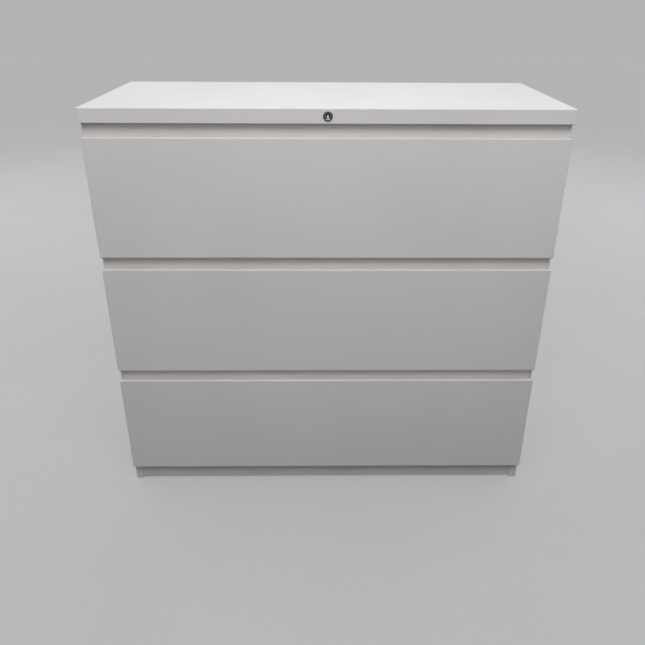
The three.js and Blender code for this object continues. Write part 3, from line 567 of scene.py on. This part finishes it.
def add_drawer_fixings(k):
    """Rivets that hold the sides to the front, and screws that hold them to the slides."""
    tray_low, _ = node_box(f"drawer_{k}_tray")
    slide_low, slide_high = node_box(f"drawer_{k}_slide_inner_right")
    side_inside = slide_low.x - DRAWER_SIDE_SHEET
    lug_back = tray_low.y + DRAWER_LUG_SHEET
    middle_y, middle_z = (slide_low.y + slide_high.y) / 2, (slide_low.z + slide_high.z) / 2
    rivets, screws = [], []
    for _, side in SIDES:
        for rise in RIVET_RISES:
            place = (side * (slide_low.x + RIVET_ASIDE), lug_back, tray_low.z + rise)
            rivets.append(moved(RIVET, place))
        for y in (slide_low.y + SCREW_FROM_FRONT, middle_y, slide_high.y - SCREW_FROM_BACK):
            screws.append(moved(SCREW, (side * side_inside, y, middle_z), (-side, 0, 0)))
    add_fitting(f"drawer_{k}_rivets", rivets, fastener_plate, f"drawer_{k}")
    add_fitting(f"drawer_{k}_screws", screws, fastener_plate, f"drawer_{k}")


# Balls and cages of the slides

BALL_R, BALL_STEPS, BALLS = 1.8, 16, 10
BALL_ANGLES = (-1.2, -0.8, -0.4, 0.0, 0.4, 0.8, 1.2)
BALL = turned([
    (0, -BALL_R), *((BALL_R * math.cos(a), BALL_R * math.sin(a)) for a in BALL_ANGLES), (0, BALL_R),
], steps=BALL_STEPS)
CAGE_HALF_SHEET = 0.25
POCKET_R, POCKET_DEPTH, POCKET_ANGLES = 2.05, 1.1, (0.6, 1.1, 1.57, 2.04, 2.54)
RUN_NEAR, RUN_FAR = 8.0, 196.0
SLIDE_WALL_GAP = 0.3
OUTER_ASIDE, OUTER_RISE, OUTER_CAGE = 5.4, 19.4, 5.0
INNER_ASIDE, INNER_RISE, INNER_CAGE = 6.9, 14.4, 4.6


def ball_cage(ends, width):
    """Strip with a round pocket for each ball, along y."""
    start, stop = ends
    half, pitch = width / 2, (stop - start) / BALLS
    edge = [(-half, start)]
    for i in range(BALLS):
        middle = start + (i + 0.5) * pitch
        edge.append((-half, middle - POCKET_R))
        for a in POCKET_ANGLES:
            edge.append((-half + POCKET_DEPTH * math.sin(a), middle - POCKET_R * math.cos(a)))
        edge.append((-half, middle + POCKET_R))
    edge.append((-half, stop))
    outline = [*edge, *((-x, y) for x, y in reversed(edge))]
    return drawn(outline, -CAGE_HALF_SHEET, CAGE_HALF_SHEET)


def add_slide_balls(k):
    """Rows of bearing balls in their cages, above and below the middle member of each slide."""
    wall = node_box("upright_front_right")[0].x - SLIDE_WALL_GAP
    for name, side in SIDES:
        low, high = node_box(f"drawer_{k}_slide_middle_{name}")
        middle_z = (low.z + high.z) / 2
        outer_run = (high.y - RUN_FAR, high.y - RUN_NEAR)
        inner_run = (low.y + RUN_NEAR, low.y + RUN_FAR)
        races = (
            (wall - OUTER_ASIDE, OUTER_RISE, outer_run, OUTER_CAGE),
            (wall - INNER_ASIDE, INNER_RISE, inner_run, INNER_CAGE),
        )
        balls, cages = [], []
        for x, rise, ends, width in races:
            pitch = (ends[1] - ends[0]) / BALLS
            for z in (middle_z - rise, middle_z + rise):
                cages.append(moved(ball_cage(ends, width), (side * x, 0, z)))
                for i in range(BALLS):
                    balls.append(moved(BALL, (side * x, ends[0] + (i + 0.5) * pitch, z)))
        body = f"slide_middle_{k}"
        add_fitting(f"drawer_{k}_slide_balls_{name}", balls, ball_steel, body)
        add_fitting(f"drawer_{k}_slide_cages_{name}", cages, cage_plate, body)


add_lock()
add_bumpers()
for k in DRAWERS:
    add_pull(k)
    add_drawer_fixings(k)
    add_slide_balls(k)


# Floor, light and camera

FLOOR_PALE = (0.21, 0.209, 0.21)
FLOOR_DEEP = (0.195, 0.194, 0.195)
FLOOR_BOUNCE = (0.03, 0.03, 0.03)
FLOOR_GLOW_NEAR = (0.31, 0.309, 0.31)
FLOOR_GLOW_FAR = (0.40, 0.399, 0.40)
FLOOR_GLOW_REACH = 4.5
FLOOR_HALF = 14.0
BACKDROP = (0.452, 0.45, 0.452)
DAYLIGHT = (0.989, 0.99, 1.024)
AMBIENT = 0.09
# Place of each lamp, what it faces, its width and height, and its watts
LAMPS = {
    "front_high": ((0.0, -1.6, 2.75), (0.0, -0.2, 0.6), (2.8, 1.4), 40.0),
    "front_middle": ((0.0, -2.6, 2.2), (0.0, -0.2, 0.6), (3.2, 1.8), 11.5),
    "front_low": ((0.0, -3.2, 1.75), (0.0, -0.2, 0.8), (3.4, 1.1), 8.5),
    "left": ((-3.0, 1.8, 2.2), (-0.4, 0.1, 0.4), (3.2, 2.3), 44.0),
    "right": ((3.0, 1.8, 2.2), (0.4, 0.1, 0.4), (3.2, 2.3), 44.0),
    "rear": ((0.0, 2.8, 2.9), (0.0, 0.2, 0.4), (2.6, 1.2), 35.0),
}
# The photograph's camera, from a fit to the cabinet's edges; angles in degrees
IMAGE_PX = 645
FOCAL_PX = 671.0
CENTRE_PX = (332.02, 335.94)
PITCH, YAW, ROLL = 27.1655, 0.8912, 0.3478
CAMERA_PLACE = (-0.01157, FACE_Y - 1.4845, 1.2186)
SENSOR_MM = 36.0


def seen_rays(nodes, links):
    """1 for rays that show the floor or the backdrop, 0 for rays that only carry light."""
    path = nodes.new("ShaderNodeLightPath")
    seen = path.outputs["Is Camera Ray"]
    for kind in ("Is Glossy Ray", "Is Transmission Ray"):
        either = nodes.new("ShaderNodeMath")
        either.operation = "MAXIMUM"
        links.new(seen, either.inputs[0])
        links.new(path.outputs[kind], either.inputs[1])
        seen = either.outputs["Value"]
    return seen


def ground(name):
    """Plain pale floor that keeps the shadow and throws little light back, as carpet does."""
    finish = Finish(name)
    seen = seen_rays(finish.nodes, finish.links)
    clouds = finish.spread(finish.noise(scale=1.4, detail=4.0))
    pale = finish.tint(clouds, FLOOR_PALE, FLOOR_DEEP)
    finish.feed("Base Color", finish.tint(seen, FLOOR_BOUNCE, pale))
    nap = finish.noise(scale=40.0, detail=3.0)
    finish.feed("Roughness", finish.spread(nap, result=(0.75, 0.9)))
    near = finish.spot((0, 0, 0), (FLOOR_GLOW_REACH,) * 3)
    finish.feed("Emission Color", finish.tint(near, FLOOR_GLOW_FAR, FLOOR_GLOW_NEAR))
    finish.feed("Emission Strength", seen)
    return finish.material


def add_floor():
    mesh = bpy.data.meshes.new("floor")
    corners = [(FLOOR_HALF * x, FLOOR_HALF * y, 0) for x, y in ((-1, -1), (1, -1), (1, 1), (-1, 1))]
    mesh.from_pydata(corners, [], [(0, 1, 2, 3)])
    mesh.materials.append(ground("floor_pale"))
    floor = bpy.data.objects.new("floor", mesh)
    bpy.context.scene.collection.objects.link(floor)


def add_world():
    """Faint even light, and a plain backdrop that only the rays that show it see."""
    world = bpy.data.worlds.new("studio")
    world.use_nodes = True
    nodes, links = world.node_tree.nodes, world.node_tree.links
    light = nodes["Background"]
    light.inputs["Color"].default_value = (*DAYLIGHT, 1.0)
    light.inputs["Strength"].default_value = AMBIENT
    backdrop = nodes.new("ShaderNodeBackground")
    backdrop.inputs["Color"].default_value = (*BACKDROP, 1.0)
    choice = nodes.new("ShaderNodeMixShader")
    links.new(seen_rays(nodes, links), choice.inputs["Fac"])
    links.new(light.outputs["Background"], choice.inputs[1])
    links.new(backdrop.outputs["Background"], choice.inputs[2])
    links.new(choice.outputs["Shader"], nodes["World Output"].inputs["Surface"])
    bpy.context.scene.world = world


def add_lamp(name, place, target, size, watts):
    lamp = bpy.data.lights.new(name, "AREA")
    lamp.shape = "RECTANGLE"
    lamp.size, lamp.size_y = size
    lamp.energy = watts
    lamp.color = DAYLIGHT
    holder = bpy.data.objects.new(name, lamp)
    holder.location = place
    holder.rotation_euler = (Vector(target) - Vector(place)).to_track_quat("-Z", "Y").to_euler()
    holder.visible_camera = False
    bpy.context.scene.collection.objects.link(holder)


def add_camera():
    """Camera at the photograph's place and angle."""
    pitch, yaw, roll = (math.radians(a) for a in (PITCH, YAW, ROLL))
    ahead = math.cos(pitch)
    forward = Vector((math.sin(yaw) * ahead, math.cos(yaw) * ahead, -math.sin(pitch)))
    level = Vector((math.cos(yaw), -math.sin(yaw), 0.0))
    upright = level.cross(forward)
    right = level * math.cos(roll) + upright * math.sin(roll)
    up = upright * math.cos(roll) - level * math.sin(roll)
    data = bpy.data.cameras.new("camera")
    data.sensor_width = SENSOR_MM
    data.lens = FOCAL_PX / IMAGE_PX * SENSOR_MM
    data.shift_x = 0.5 - CENTRE_PX[0] / IMAGE_PX
    data.shift_y = CENTRE_PX[1] / IMAGE_PX - 0.5
    camera = bpy.data.objects.new("camera", data)
    turn = Matrix((right, up, -forward)).transposed().to_4x4()
    camera.matrix_world = Matrix.Translation(CAMERA_PLACE) @ turn
    bpy.context.scene.collection.objects.link(camera)
    bpy.context.scene.camera = camera


add_floor()
add_world()
for name, settings in LAMPS.items():
    add_lamp(name, *settings)
add_camera()
bpy.context.scene.view_settings.view_transform = "Standard"
